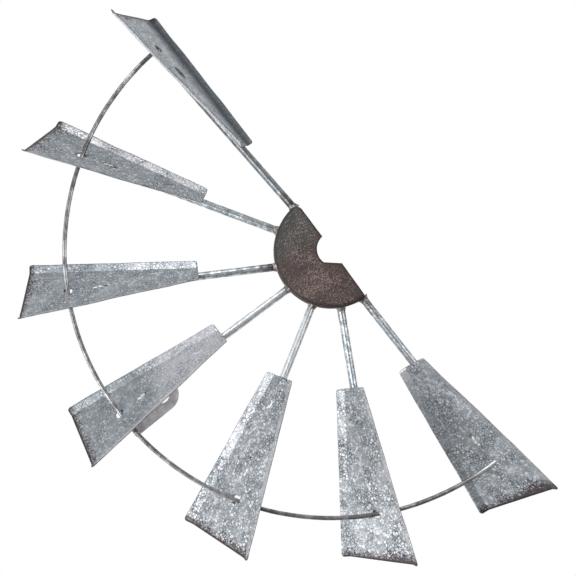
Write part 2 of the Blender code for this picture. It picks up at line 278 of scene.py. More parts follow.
NOISE = "ShaderNodeTexNoise"
CELLS = "ShaderNodeTexVoronoi"
RAMP = "ShaderNodeValToRGB"
MIX = "ShaderNodeMix"
MATHS = "ShaderNodeMath"
VECTOR_MATHS = "ShaderNodeVectorMath"
ATTRIBUTE = "ShaderNodeAttribute"
BLEND = {"data_type": "RGBA"}
PLUS = {"operation": "ADD"}
MINUS = {"operation": "SUBTRACT"}
TIMES = {"operation": "MULTIPLY"}
OVER = {"operation": "DIVIDE"}
TIMES_PLUS = {"operation": "MULTIPLY_ADD"}
LEAST = {"operation": "MINIMUM"}
LENGTH = {"operation": "LENGTH"}
DOT = {"operation": "DOT_PRODUCT"}
MAIN_OUTPUT = {MIX: 2, ATTRIBUTE: 2}  # which output is joined when a whole node is given, if not the first


def node(tree, kind, settings=None, stops=(), **inputs):
    """Adds a node, given its properties, a ramp's stops as (place, hex or grey), and its sockets by name.

    An input named _3 is the fourth socket. Its value is a plain value, a hex colour, a socket or a node."""
    made = tree.nodes.new(kind)
    for key, value in (settings or {}).items():
        setattr(made, key, value)
    for place, colour in stops[2:]:
        made.color_ramp.elements.new(place)
    for element, (place, colour) in zip(made.color_ramp.elements if stops else (), stops):
        element.position = place
        element.color = hex_colour(colour) if isinstance(colour, str) else (colour, colour, colour, 1)
    for key, value in inputs.items():
        socket = made.inputs[int(key[1:])] if key[1:].isdigit() else made.inputs[key.replace("_", " ")]
        if isinstance(value, str):
            value = hex_colour(value)
        if isinstance(value, bpy.types.Node):
            value = value.outputs[MAIN_OUTPUT.get(value.bl_idname, 0)]
        if isinstance(value, bpy.types.NodeSocket):
            tree.links.new(value, socket)
        else:
            socket.default_value = value
    return made


def new_material(name, metallic):
    """A material's tree, its shader, and the place on the piece in object coordinates."""
    made = bpy.data.materials.new(name)
    made.use_nodes = True
    tree = made.node_tree
    tree.nodes["Principled BSDF"].inputs["Metallic"].default_value = metallic
    return made, tree, node(tree, "ShaderNodeTexCoord").outputs["Object"]


def finish(tree, colour, roughness, height, depth):
    """Joins the colour, the roughness and a bump whose highest point stands the given depth proud."""
    shader = tree.nodes["Principled BSDF"]
    bump = node(tree, "ShaderNodeBump", Height=height, Distance=depth, Strength=1.0)
    tree.links.new(colour.outputs[MAIN_OUTPUT.get(colour.bl_idname, 0)], shader.inputs["Base Color"])
    tree.links.new(roughness.outputs[0], shader.inputs["Roughness"])
    tree.links.new(bump.outputs[0], shader.inputs["Normal"])


def galvanised_sheet():
    """Etched hot-dip galvanised sheet: pale zinc blooms outlined by darker veins, rusted at its outer end."""
    made, tree, where = new_material("galvanised_sheet", 0.6)
    wander = node(tree, NOISE, Vector=where, Scale=1 / (3.5 * MM), Detail=2.0).outputs["Color"]
    bent = node(tree, VECTOR_MATHS, TIMES_PLUS, _0=wander, _1=(3.0 * MM,) * 3, _2=where)
    cell = 1 / (3.9 * MM)
    blooms = node(tree, CELLS, Vector=bent, Scale=cell).outputs["Color"]
    border = node(tree, CELLS, {"feature": "DISTANCE_TO_EDGE"}, Vector=bent, Scale=cell)
    tone = node(tree, RAMP, stops=((0.2, "#A1A7AB"), (0.5, "#BFC2C5"), (0.8, "#E6E5E8")), Fac=blooms)
    # Paler zinc mixed with painted sheen on the lips, and a painted highlight along the lips toward the next
    # arm.
    pale_zinc_and_sheen = node(tree, ATTRIBUTE, {"attribute_name": "pale_zinc_and_sheen"})
    tone = node(tree, MIX, BLEND, _0=pale_zinc_and_sheen, _6=tone.outputs[0], _7="#FFFCFF")
    vein = node(tree, RAMP, stops=((0.04, 1.0), (0.17, 0.0)), Fac=border)
    patch = node(tree, NOISE, Vector=where, Scale=1 / (24 * MM), Detail=3.0)
    veined = node(tree, RAMP, stops=((0.40, 0.35), (0.60, 1.0)), Fac=patch)
    vein = node(tree, MATHS, TIMES, _0=vein, _1=veined)
    zinc = node(tree, MIX, BLEND, _0=vein, _6=tone, _7="#464D53")
    grain = node(tree, NOISE, Vector=where, Scale=1 / (1.6 * MM), Detail=1.0)
    darker = node(tree, RAMP, stops=((0.35, 0.75), (0.58, 0.0)), Fac=grain)
    zinc = node(tree, MIX, BLEND, _0=darker, _6=zinc, _7="#6F7980")
    height = node(tree, MATHS, MINUS, _0=1.0, _1=vein)
    roughness = node(tree, MATHS, TIMES_PLUS, _0=vein, _1=0.12, _2=0.44)
    plain = node(tree, MATHS, MINUS, _0=1.0, _1=node(tree, ATTRIBUTE, {"attribute_name": "etched"}))
    plain_tone = node(tree, MIX, BLEND, _0=pale_zinc_and_sheen, _6="#8E979F", _7="#C4C2C8")
    zinc = node(tree, MIX, BLEND, _0=plain, _6=zinc, _7=plain_tone)
    # Tarnish and painted shade: the first blade's lip and fold are darkened where shade falls.
    tarnish_and_shade = node(tree, ATTRIBUTE, {"attribute_name": "tarnish_and_shade"})
    zinc = node(tree, MIX, BLEND, _0=tarnish_and_shade, _6=zinc, _7="#3A4148")
    zinc = weld_marks(tree, zinc, where)
    along = node(tree, ATTRIBUTE, {"attribute_name": "along"})
    end = node(tree, MATHS, MINUS, _0=BLADE_OUTER, _1=along)
    crumbs = node(tree, NOISE, Vector=where, Scale=1 / (4 * MM), Detail=4.0, Roughness=0.7)
    ragged = node(tree, MATHS, TIMES_PLUS, _0=crumbs, _1=30 * MM, _2=end)
    ragged = node(tree, MATHS, TIMES_PLUS, _0=vein, _1=-9 * MM, _2=ragged)
    rusting = node(tree, ATTRIBUTE, {"attribute_name": "rusting"})
    ragged = node(tree, MATHS, MINUS, _0=ragged, _1=rusting)
    share = node(tree, MATHS, OVER, _0=ragged, _1=40 * MM)
    rust = node(tree, RAMP, stops=((0.30, 0.95), (0.42, 0.6), (0.50, 0.0)), Fac=share)
    colour = node(tree, MIX, BLEND, _0=rust.outputs[0], _6=zinc, _7="#40373A")
    share = node(tree, MATHS, OVER, _0=end, _1=4 * MM)
    rim = node(tree, RAMP, stops=((0.35, 0.95), (0.75, 0.0)), Fac=share)
    colour = node(tree, MIX, BLEND, _0=rim.outputs[0], _6=colour, _7="#352C2B")
    finish(tree, colour, roughness, height, 0.03 * MM)
    return made


def dull_strap():
    """Bare strap under an even, slightly mauve film, cloudy rather than spangled."""
    made, tree, where = new_material("dull_strap", 0.35)
    cloud = node(tree, NOISE, Vector=where, Scale=1 / (9 * MM), Detail=5.0, Roughness=0.6)
    colour = node(tree, RAMP, stops=((0.35, "#A39FA4"), (0.65, "#CDCACD")), Fac=cloud)
    finish(tree, colour, node(tree, RAMP, stops=((0.3, 0.55), (0.7, 0.45)), Fac=cloud), cloud, 0.05 * MM)
    return made


def spot(tree, place, reach):
    """Distance from a place on the blade as a share of an ellipse's reach: 1 on the ellipse."""
    along, across = (node(tree, ATTRIBUTE, {"attribute_name": key}) for key in ("along", "across"))
    here = node(tree, "ShaderNodeCombineXYZ", X=along, Y=across)
    apart = node(tree, VECTOR_MATHS, MINUS, _0=here, _1=(*place, 0))
    shares = node(tree, VECTOR_MATHS, TIMES, _0=apart, _1=(1 / reach[0], 1 / reach[1], 0))
    return node(tree, VECTOR_MATHS, LENGTH, _0=shares).outputs["Value"], shares


def weld_marks(tree, zinc, where):
    """The zinc where it was welded: a dull disc with a painted highlight crescent on one side, a pale
    surround at the slot, and painted shade with some scorching round the slot and ring hole.
    """
    keys = ("mark", "pale", "hole_shade_and_scorch")
    shown, pale, shade_and_scorch = (node(tree, ATTRIBUTE, {"attribute_name": key}) for key in keys)
    away, shares = spot(tree, MARK_PLACE, (MARK_RADIUS, MARK_RADIUS))
    half = node(tree, MATHS, TIMES, _0=away, _1=0.5)
    disc = node(tree, RAMP, stops=((0.42, 0.35), (0.47, 0.0)), Fac=half)
    # Painted highlight: a white crescent on the mark's rim, on one side only.
    crescent = node(tree, RAMP, stops=((0.40, 0.0), (0.46, 1.0), (0.52, 1.0), (0.60, 0.0)), Fac=half)
    facing = node(tree, VECTOR_MATHS, DOT, _0=shares, _1=MARK_HIGHLIGHT_SIDE).outputs["Value"]
    lit_side = node(tree, RAMP, stops=((0.45, 0.0), (0.90, 1.0)), Fac=facing)
    lit = node(tree, MATHS, TIMES, _0=crescent, _1=lit_side)
    lit = node(tree, MATHS, TIMES, _0=lit, _1=shown)
    disc = node(tree, MATHS, TIMES, _0=disc, _1=shown)
    zinc = node(tree, MIX, BLEND, _0=disc, _6=zinc, _7="#7F8A94")
    zinc = node(tree, MIX, BLEND, _0=lit, _6=zinc, _7="#FFFFFF")
    crumbs = node(tree, NOISE, Vector=where, Scale=1 / (4 * MM), Detail=3.0, Roughness=0.6)
    away, _ = spot(tree, (SLOT[0] + 2 * MM, SLOT[1]), (20 * MM, 12 * MM))
    ragged = node(tree, MATHS, PLUS, _0=away, _1=crumbs)
    flare = node(tree, RAMP, stops=((0.55, 0.9), (0.85, 0.0)), Fac=ragged)
    flare = node(tree, MATHS, TIMES, _0=flare, _1=pale)
    zinc = node(tree, MIX, BLEND, _0=flare, _6=zinc, _7="#E4E5E8")
    # Painted shade with some scorching: near black in and round the first blade's slot and ring hole, which
    # lie in shadow.
    away, _ = spot(tree, SLOT[:2], (11 * MM, 6.5 * MM))
    hole_away, _ = spot(tree, (RING_RADIUS - ARMS[0][3], RING_HOLE_OVER), (6.5 * MM, 7.5 * MM))
    away = node(tree, MATHS, LEAST, _0=away, _1=hole_away)
    burn_and_shade = node(tree, RAMP, stops=((0.75, 0.95), (1.0, 0.0)), Fac=away)
    burn_and_shade = node(tree, MATHS, TIMES, _0=burn_and_shade, _1=shade_and_scorch)
    return node(tree, MIX, BLEND, _0=burn_and_shade, _6=zinc, _7="#15181C")


def cut_edge():
    """Sheared edge of the sheet, its zinc dulled and starting to brown."""
    made, tree, where = new_material("sheared_edge", 0.5)
    patch = node(tree, NOISE, Vector=where, Scale=1 / (6 * MM), Detail=3.0)
    colour = node(tree, RAMP, stops=((0.35, "#5A585A"), (0.65, "#8D9498")), Fac=patch)
    share = node(tree, MATHS, OVER, _0=node(tree, ATTRIBUTE, {"attribute_name": "along"}), _1=BLADE_OUTER)
    rusty = node(tree, RAMP, stops=((0.975, 0.0), (0.985, 1.0)), Fac=share)
    colour = node(tree, MIX, BLEND, _0=rusty.outputs[0], _6=colour.outputs[0], _7="#3A302E")
    finish(tree, colour, node(tree, RAMP, stops=((0.3, 0.5), (0.7, 0.6)), Fac=patch), patch, 0.03 * MM)
    return made


def galvanised_rod():
    """Galvanised round rod: zinc with brighter runs, duller on some spokes, and brown toward the hub."""
    made, tree, where = new_material("galvanised_rod", 0.7)
    drawn = node(tree, NOISE, Vector=where, Scale=1 / (7 * MM), Detail=4.0, Roughness=0.65)
    colour = node(tree, RAMP, stops=((0.35, "#7B8287"), (0.50, "#A6ADB2"), (0.62, "#D9DDE0")), Fac=drawn)
    dull = node(tree, ATTRIBUTE, {"attribute_name": "dull"})
    colour = node(tree, MIX, BLEND, _0=dull, _6=colour.outputs[0], _7="#4A4E52")
    bright = node(tree, MATHS, TIMES, _0=dull, _1=-1.0)
    colour = node(tree, MIX, BLEND, _0=bright, _6=colour, _7="#F4F5F7")
    near = node(tree, ATTRIBUTE, {"attribute_name": "root_distance"})
    ragged = node(tree, MATHS, TIMES_PLUS, _0=drawn, _1=30 * MM, _2=near)
    share = node(tree, MATHS, OVER, _0=ragged, _1=50 * MM)
    rust = node(tree, RAMP, stops=((0.40, 0.95), (0.60, 0.6), (0.85, 0.0)), Fac=share)
    rust = node(tree, MATHS, TIMES, _0=rust, _1=node(tree, ATTRIBUTE, {"attribute_name": "browned"}))
    colour = node(tree, MIX, BLEND, _0=rust, _6=colour, _7="#3F3431")
    finish(tree, colour, node(tree, RAMP, stops=((0.3, 0.45), (0.7, 0.3)), Fac=drawn), drawn, 0.08 * MM)
    return made


def rusted_plate():
    """Heat-browned steel plate, lacquered at one end, peppered with paler rust and darker at its edges."""
    made, tree, where = new_material("rusted_plate", 0.25)
    speck = node(tree, NOISE, Vector=where, Scale=1 / (1.5 * MM), Detail=3.0, Roughness=0.6)
    cloud = node(tree, NOISE, Vector=where, Scale=1 / (28 * MM), Detail=3.0)
    both = node(tree, MATHS, TIMES_PLUS, _0=cloud, _1=0.35, _2=speck)
    colour = node(tree, RAMP, stops=((0.56, "#382D2B"), (0.76, "#4C3F3D")), Fac=both)
    east = node(tree, "ShaderNodeSeparateXYZ", _0=where).outputs["X"]
    share = node(tree, MATHS, OVER, _0=east, _1=HUB_CENTRE[0] + HUB_RADIUS)
    ragged = node(tree, MATHS, TIMES_PLUS, _0=cloud, _1=0.5, _2=share)
    lacquered = node(tree, RAMP, stops=((0.50, 0.0), (0.80, 0.85)), Fac=ragged)
    colour = node(tree, MIX, BLEND, _0=lacquered.outputs[0], _6=colour.outputs[0], _7="#373B39")
    peppered = node(tree, RAMP, stops=((0.70, 0.0), (0.84, 0.85)), Fac=both)
    colour = node(tree, MIX, BLEND, _0=peppered.outputs[0], _6=colour, _7="#8E7C77")
    edge = node(tree, ATTRIBUTE, {"attribute_name": "edge_distance"})
    share = node(tree, MATHS, OVER, _0=edge, _1=4 * MM)
    border = node(tree, RAMP, stops=((0.25, 0.75), (0.8, 0.0)), Fac=share)
    colour = node(tree, MIX, BLEND, _0=border.outputs[0], _6=colour, _7="#241E1D")
    finish(tree, colour, node(tree, RAMP, stops=((0.3, 0.62), (0.7, 0.8)), Fac=speck), speck, 0.06 * MM)
    return made


def weathered_rod():
    """Thin zinc-plated rod: worn to brown in patches, painted shade where it starts inside the first blade's
    hole, and a painted highlight toward its end.
    """
    made, tree, where = new_material("weathered_rod", 0.6)
    patch = node(tree, NOISE, Vector=where, Scale=1 / (15 * MM), Detail=4.0, Roughness=0.7)
    colour = node(tree, RAMP, stops=((0.36, "#605A58"), (0.50, "#848487"), (0.68, "#B9BCBF")), Fac=patch)
    start = node(tree, ATTRIBUTE, {"attribute_name": "start_distance"})
    # Painted shade on the first few millimetres, where the rod sits in the first blade's hole.
    share = node(tree, MATHS, OVER, _0=start, _1=6 * MM)
    shade_and_scorch = node(tree, RAMP, stops=((0.6, 1.0), (1.0, 0.0)), Fac=share)
    colour = node(tree, MIX, BLEND, _0=shade_and_scorch.outputs[0], _6=colour.outputs[0], _7="#1C1A1A")
    # Painted highlight: the last stretch toward the ring's end is whitened in patches.
    tip = node(tree, MATHS, MINUS, _0=(RING_END - RING_START) * RING_RADIUS, _1=start)
    ragged = node(tree, MATHS, TIMES_PLUS, _0=patch, _1=60 * MM, _2=tip)
    share = node(tree, MATHS, OVER, _0=ragged, _1=110 * MM)
    end_highlight = node(tree, RAMP, stops=((0.35, 0.65), (0.62, 0.0)), Fac=share)
    colour = node(tree, MIX, BLEND, _0=end_highlight.outputs[0], _6=colour, _7="#E4E6E8")
    finish(tree, colour, node(tree, RAMP, stops=((0.3, 0.42), (0.7, 0.24)), Fac=patch), patch, 0.05 * MM)
    return made


def weld_metal(name, dark, light, metallic=0.6):
    """Weld bead, lumpy, blotched between a given dark and light colour."""
    made, tree, where = new_material(name, metallic)
    patch = node(tree, NOISE, Vector=where, Scale=1 / (3 * MM), Detail=3.0)
    colour = node(tree, RAMP, stops=((0.35, dark), (0.65, light)), Fac=patch)
    finish(tree, colour, node(tree, RAMP, stops=((0.3, 0.55), (0.7, 0.4)), Fac=patch), patch, 0.15 * MM)
    return made


SHEET = galvanised_sheet()
STRAP = dull_strap()
EDGE = cut_edge()
ROD = galvanised_rod()
RUST = rusted_plate()
RING = weathered_rod()
BROWN_WELD = weld_metal("browned_weld", "#45403E", "#9A9694")
STRAP_WELD = weld_metal("dulled_weld", "#837F83", "#B5B1B4", metallic=0.35)
BRIGHT_WELD = weld_metal("bright_weld", "#8D9498", "#F0F1F3")
# Near-black weld standing for shade: the first blade's sunken plug and the tacks where the ring enters the
# holes are painted shade.
SHADE_DARK_WELD = weld_metal("shade_dark_weld", "#1E1D1F", "#3A383A", metallic=0.0)


# ---------------------------------------------------------------------------------------------- pieces


def steps_through(*stretches):
    """Places along a line: stretches of (start, end, count), each starting where the last one ends."""
    places = [np.linspace(start, end, count, endpoint=False) for start, end, count in stretches]
    return np.concatenate([*places, [stretches[-1][1]]])


def punch(points, faces, hole):
    """Leaves out the faces inside an oblong and draws the ring of points left round it onto its outline.

    The oblong is every point within half its width of a line down its middle, so a point outside it is moved
    toward the nearest point of that line until it is half a width away."""
    middle_along, middle_across, length, width = hole
    along, across = points[:, 0] - middle_along, points[:, 2] - middle_across
    lengthwise = length > width
    run, side = (along, across) if lengthwise else (across, along)
    half_line = abs(length - width) / 2
    radius = min(length, width) / 2
    nearest = np.clip(run, -half_line, half_line)
    away = np.hypot(run - nearest, side)
    inside = away[faces].mean(1) < radius
    ring = np.intersect1d(faces[inside], faces[~inside])
    grow = radius / away[ring]
    new_run = nearest[ring] + (run[ring] - nearest[ring]) * grow
    new_side = side[ring] * grow
    new_along, new_across = (new_run, new_side) if lengthwise else (new_side, new_run)
    points[ring, 0] = new_along + middle_along
    points[ring, 2] = new_across + middle_across
    return faces[~inside]


def half_width(along):
    """Half the panel's width at a distance outward: straight from the inner end's to the outer end's."""
    share = (along - BLADE_INNER) / (BLADE_OUTER - BLADE_INNER)
    return BLADE_INNER_HALF + (BLADE_OUTER_HALF - BLADE_INNER_HALF) * share


def blade_points(seed):
    """A folded blade's middle surface as a grid of rows outward and columns across.

    Across: a flat panel as wide as the taper gives, then at each side an arc of the fold's radius through the
    bend, then a straight lip. Outward: straight lines from the inner end's section to the outer end's, whose
    corners are rounded off. A small ripple is added forward and grows toward the free edges. The steps are
    closest where the slot and the ring's hole are punched."""
    panel = steps_through((-1, -0.06, 18), (-0.06, 0.34, 26), (0.34, 1, 12))
    bend = np.linspace(0, LIP_BEND, 7)[1:]
    lip = np.linspace(0, 1, 9)[1:]
    inner_rows = ((0, 0.10, 8), (0.10, 0.50, 18), (0.50, 0.62, 34), (0.62, 0.69, 6))
    outer_rows = ((0.69, 0.79, 34), (0.79, 0.97, 9), (0.97, 1, 6))
    rows = steps_through(*inner_rows, *outer_rows)
    reach = FOLD_RADIUS * math.tan(LIP_BEND / 2)
    fold_side = FOLD_RADIUS * np.sin(bend) - reach
    fold_rise = FOLD_RADIUS * (1 - np.cos(bend))
    straight = LIP_WIDTH - reach
    lip_side = fold_side[-1] + lip * straight * math.cos(LIP_BEND)
    lip_rise = fold_rise[-1] + lip * straight * math.sin(LIP_BEND)
    side, rise = np.concatenate([fold_side, lip_side]), np.concatenate([fold_rise, lip_rise])
    scale = np.concatenate([-np.ones(len(side)), panel, np.ones(len(side))])
    fixed = np.concatenate([-side[::-1], -reach * panel, side])
    forward = np.concatenate([rise[::-1], np.zeros(len(panel)), rise])
    half = half_width(BLADE_INNER + (BLADE_OUTER - BLADE_INNER) * rows)
    across = half[:, None] * scale + fixed
    from_edge = np.minimum(across - across[:, :1], across[:, -1:] - across)
    inside = np.maximum(BLADE_CORNER - from_edge, 0)
    cut = BLADE_CORNER - np.sqrt(np.maximum(BLADE_CORNER**2 - inside**2, 0))
    inner, outer = BLADE_INNER + cut[0], BLADE_OUTER - cut[-1]
    along = inner + (outer - inner) * rows[:, None]
    free = np.clip(np.abs(across) / half[:, None], 0, 1.2) ** 2
    wave = ripple(along / (38 * MM), across / (20 * MM), seed) * BLADE_WAVE * (0.25 + free)
    return np.stack([along, -forward - wave, across], -1)


def tarnish_and_shade_of(along, across, number):
    """How dark the zinc is made, from 0 to 1, partly tarnish and partly painted shade.

    Every blade is dark at the outer corner of its lip toward the last arm, as a Gaussian of the distance, and
    no part is less dark than its own steady share. The first blade's lip is painted shade all over, darkest
    in the fold, fading over the panel as another Gaussian."""
    from_fold = across + half_width(along)
    corner = 0.8 * np.exp(-((BLADE_OUTER - along) ** 2 + (from_fold + 7 * MM) ** 2) / (8 * MM) ** 2)
    corner = np.maximum(corner, TARNISH_AND_SHADE[number - 1])
    if number > 1:
        return corner
    lip = 0.62 + 0.30 * np.exp(-((from_fold / (5 * MM)) ** 2))
    panel = 0.88 * np.exp(-((from_fold / (17 * MM)) ** 2))
    return np.maximum(corner, np.where(from_fold < 0, lip, np.minimum(panel, 0.92)))


def pale_zinc_and_sheen_of(along, across, number):
    """How pale the zinc is made, from 0 to 1: paler zinc with some painted sheen and highlight.

    Lips toward the last arm are paler by a steady share, partly a painted sheen, and more so inward on some,
    as a smooth step of the distance outward. Panels can be paler inward in the same way, and lips toward the
    next arm are given a painted highlight all along."""
    half = half_width(along)
    on_lip = np.clip(-(across + half) / MM, 0, 1)
    steady, inward, whole, limit = PALE_ZINC_AND_SHEEN[number - 1]
    share = np.clip((limit - along) / (50 * MM) + 0.5, 0, 1)
    step = share**2 * (3 - 2 * share)
    on_next_lip = np.clip((across - half) / MM, 0, 1)
    pale_panel = (1 - on_lip) * whole * step
    return on_lip * (steady + inward * step) + pale_panel + on_next_lip * NEXT_LIP_HIGHLIGHT[number - 1]


def make_blade(number, arm, ring_hole):
    """A blade: its middle surface with the slot and the ring's hole left out, given the sheet's thickness."""
    points = blade_points(number)
    rows, columns = points.shape[:2]
    faces = grid_faces(rows, columns)
    flat = points.reshape(-1, 3)
    faces = punch(flat, faces, SLOT)
    outward, width, length, _ = ring_hole
    faces = punch(flat, faces, (RING_RADIUS + outward - arm[3], RING_HOLE_OVER, width, length))
    used, faces = np.unique(faces, return_inverse=True)
    placed = moved(blade_frame(arm), flat[used])
    name = f"blade_sheet_{number}"
    along, across = flat[used, 0], flat[used, 2]
    values = {"along": along, "across": across, "tarnish_and_shade": tarnish_and_shade_of(along, across, number)}
    values["pale_zinc_and_sheen"] = pale_zinc_and_sheen_of(along, across, number)
    values["rusting"] = RUSTING[number - 1] * (1 + across / BLADE_OUTER_HALF) / 2
    for key, shown in zip(("mark", "pale", "hole_shade_and_scorch", "etched"), MARKS[number - 1]):
        values[key] = np.full(len(used), shown)
    values["etched"] *= 1 - SMOOTHED[number - 1] * values["pale_zinc_and_sheen"]
    obj = piece(name, placed, faces.reshape(-1, 4), SHEET, (f"blade_{number}",), values)
    add_wall(obj, BLADE_SHEET, 0, EDGE)


def round_rod(along, radius, seed, lump=0.06 * MM, around=32):
    """A rod along X as a wrapped grid: circles of the given radii, a little uneven."""
    angle = np.linspace(0, 2 * np.pi, around, endpoint=False)
    uneven = radius[:, None] + lump * ripple(along[:, None] / (9 * MM), np.cos(angle) * 2, seed)
    uneven = np.minimum(uneven, radius[:, None] * 1.1)
    ones = np.ones(around)
    return np.stack([along[:, None] * ones, -uneven * np.sin(angle), uneven * np.cos(angle)], -1)


def rod_profile(start, end, radius, chamfer, count):
    """Places along a rod and its radius there: quarter rounds at both ends and even steps between."""
    curve = np.linspace(0, np.pi / 2, 5)
    head = start + chamfer * (1 - np.cos(curve))
    middle = np.linspace(head[-1], end - chamfer, count)[1:-1]
    along = np.concatenate([head, middle, (start + end - head)[::-1]])
    ends = radius - chamfer + chamfer * np.sin(curve)
    return along, np.concatenate([ends, np.full(count - 2, radius), ends[::-1]])


def spoke_start(arm):
    """Where along the arm its end touches the hub's round rim."""
    skew = math.radians(arm[1])
    miss = RING_RADIUS * math.sin(abs(skew))
    return RING_RADIUS * (1 - math.cos(skew)) + math.sqrt(HUB_RADIUS**2 - miss**2)


def make_spoke(number, arm):
    """A spoke: a round rod from the hub's rim to the blade's slot."""
    start = spoke_start(arm) - 0.5 * MM
    along, radius = rod_profile(start, SPOKE_OUTER, SPOKE_RADIUS, 0.5 * MM, 110)
    grid = round_rod(along, radius, 20 + number)
    points, faces, fans = capped(grid)
    from_root = np.concatenate([np.repeat(along - start, grid.shape[1]), [0, SPOKE_OUTER - start]])
    values = {"root_distance": from_root}
    for key, shown in zip(("dull", "browned"), SPOKE_LOOKS[number - 1]):
        values[key] = np.full(len(points), shown)
    points = moved(arm_frame(arm), points)
    piece(f"spoke_rod_{number}", points, faces, ROD, (f"spoke_{number}",), values, fans)


def make_root_weld(number, arm):
    """A lumpy fillet from the hub's rim to the spoke, whose radius falls as a power of the distance left."""
    start = spoke_start(arm) - 0.6 * MM
    fall = np.linspace(0, 1, 14)
    along = start + ROOT_WELD_LENGTH * fall
    radius = SPOKE_RADIUS - ROOT_WELD_SUNK + ROOT_WELD_FLARE * (1 - fall) ** ROOT_WELD_POWER
    grid = round_rod(along, radius, 40 + number, lump=0.35 * MM, around=40)
    points, faces, fans = capped(grid)
    points = moved(arm_frame(arm), points)
    replaced = (f"hub_weld_{number}",)
    piece(f"root_fillet_{number}", points, faces, BROWN_WELD, replaced, None, fans)


def hub_angles(radius, corner, side):
    """The angle at which a circle of this radius meets the hub's straight cut or its rounded corner."""
    height = HUB_CUT_HEIGHT
    straight = np.arcsin(np.clip(height / radius, -1, 1))
    up = height + corner
    middle = math.hypot(math.sqrt((HUB_RADIUS - corner) ** 2 - up**2), up)
    bearing = math.asin(up / middle)
    cosine = (radius**2 + middle**2 - corner**2) / (2 * radius * middle)
    rounded = bearing - np.arccos(np.clip(cosine, -1, 1))
    from_corner = np.where(radius > math.sqrt(middle**2 - up**2 + height**2), rounded, straight)
    return from_corner if side > 0 else np.pi - from_corner


def make_hub():
    """The hub's front and rolled rim: rays from its centre, swept between the two ends of its cut.

    Outward the profile runs from the eye over a crown that falls with the square of the radius, round the
    shoulder's quarter circle and straight back down the rim. The eye is a circle up to the torch's angle, and
    from there a straight cut."""
    flat = HUB_RADIUS - HUB_SHOULDER
    sweep = np.linspace(0, 1, 150)
    face = np.linspace(0, 1, 40)
    roll = np.linspace(0, np.pi / 2, 9)[1:]
    back = np.linspace(0, 1, 8)[1:]
    angle = math.asin(HUB_CUT_HEIGHT / HUB_EYE_RADIUS) * (1 - sweep) + np.pi * sweep
    torch_from = HUB_EYE_RADIUS * np.array([math.cos(HUB_EYE_TORCH_ANGLE), math.sin(HUB_EYE_TORCH_ANGLE)])
    torch_to = np.array([-HUB_EYE_RADIUS, HUB_CUT_HEIGHT])
    along = torch_to - torch_from
    normal = np.array([-along[1], along[0]]) / np.hypot(*along)
    reach = abs(torch_from @ normal)
    bearing = math.atan2(*(normal * np.sign(torch_from @ normal))[::-1])
    # Where the cut meets the eye depends on the eye's radius there, so the two are found by turns.
    for _ in range(6):
        torch = reach / np.maximum(np.cos(angle - bearing), 0.2)
        eye = np.where(angle > HUB_EYE_TORCH_ANGLE, torch, HUB_EYE_RADIUS)
        low = np.arcsin(HUB_CUT_HEIGHT / eye)
        angle = low * (1 - sweep) + (np.pi - low) * sweep
    radius = eye[None] + (flat - eye[None]) * face[:, None]
    depth = HUB_FACE_DEPTH + HUB_CROWN * (1 - (radius / flat) ** 2)
    rolled = np.tile((flat + HUB_SHOULDER * np.sin(roll))[:, None], len(sweep))
    rolled_depth = np.tile((HUB_FACE_DEPTH - HUB_SHOULDER * (1 - np.cos(roll)))[:, None], len(sweep))
    rim = np.full((len(back), len(sweep)), HUB_RADIUS)
    rim_top = HUB_FACE_DEPTH - HUB_SHOULDER
    rim_depth = np.tile((rim_top + (HUB_BACK_DEPTH - rim_top) * back)[:, None], len(sweep))
    radius = np.vstack([radius, rolled, rim])
    depth = np.vstack([depth, rolled_depth, rim_depth])
    low, high = hub_angles(radius, HUB_CORNERS[0], 1), hub_angles(radius, HUB_CORNERS[1], -1)
    angle = low * (1 - sweep) + high * sweep
    out, up = radius * np.cos(angle), radius * np.sin(angle)
    depth = depth + 0.25 * MM * ripple(out / (16 * MM), up / (16 * MM), 7)
    grid = np.stack([out, -depth, up], -1)
    points = moved(shift(*HUB_CENTRE) @ turn(-HUB_CUT_TILT, "Y"), grid.reshape(-1, 3))
    to_cut = grid[..., 2] - HUB_CUT_HEIGHT
    edge = np.minimum(np.minimum(HUB_RADIUS - radius, np.abs(to_cut)), radius - eye[None])
    values = {"edge_distance": edge}
    hub = piece("half_hub", points, grid_faces(*radius.shape), RUST, ("hub_plate",), values)
    add_wall(hub, HUB_SHEET, -1)


def make_ring():
    """The ring: circles carried round an arc that wanders a little out and forward, with rounded ends."""
    along, radius = rod_profile(0, 1, 1, 0.004, 260)
    turned = RING_START + (RING_END - RING_START) * along
    around = np.linspace(0, 2 * np.pi, 20, endpoint=False)
    out = np.stack([np.cos(turned), 0 * turned, np.sin(turned)], -1)
    path_radius = RING_RADIUS + 0.25 * MM * ripple(turned * 6, 0.7, 3)
    depth = RING_DEPTH + 0.2 * MM * ripple(turned * 5, 0.3, 4)
    centre = HUB_CENTRE + out * path_radius[:, None] - np.array([0, 1, 0]) * depth[:, None]
    rod = RING_ROD_RADIUS * radius
    rod = rod[:, None] * (1 + 0.035 * ripple(turned[:, None] * 60, np.cos(around) * 2, 5))
    beside = np.cos(around)[:, None] * out[:, None]
    behind = np.sin(around)[:, None] * np.array([0, 1, 0])
    grid = centre[:, None] + rod[..., None] * (beside + behind)
    points, faces, fans = capped(grid)
    from_start = np.concatenate([np.repeat((turned - RING_START) * RING_RADIUS, len(around)), [0, 1]])
    values = {"start_distance": from_start}
    piece("ring_rod_bent", points, faces, RING, ("ring_rod",), values, fans)


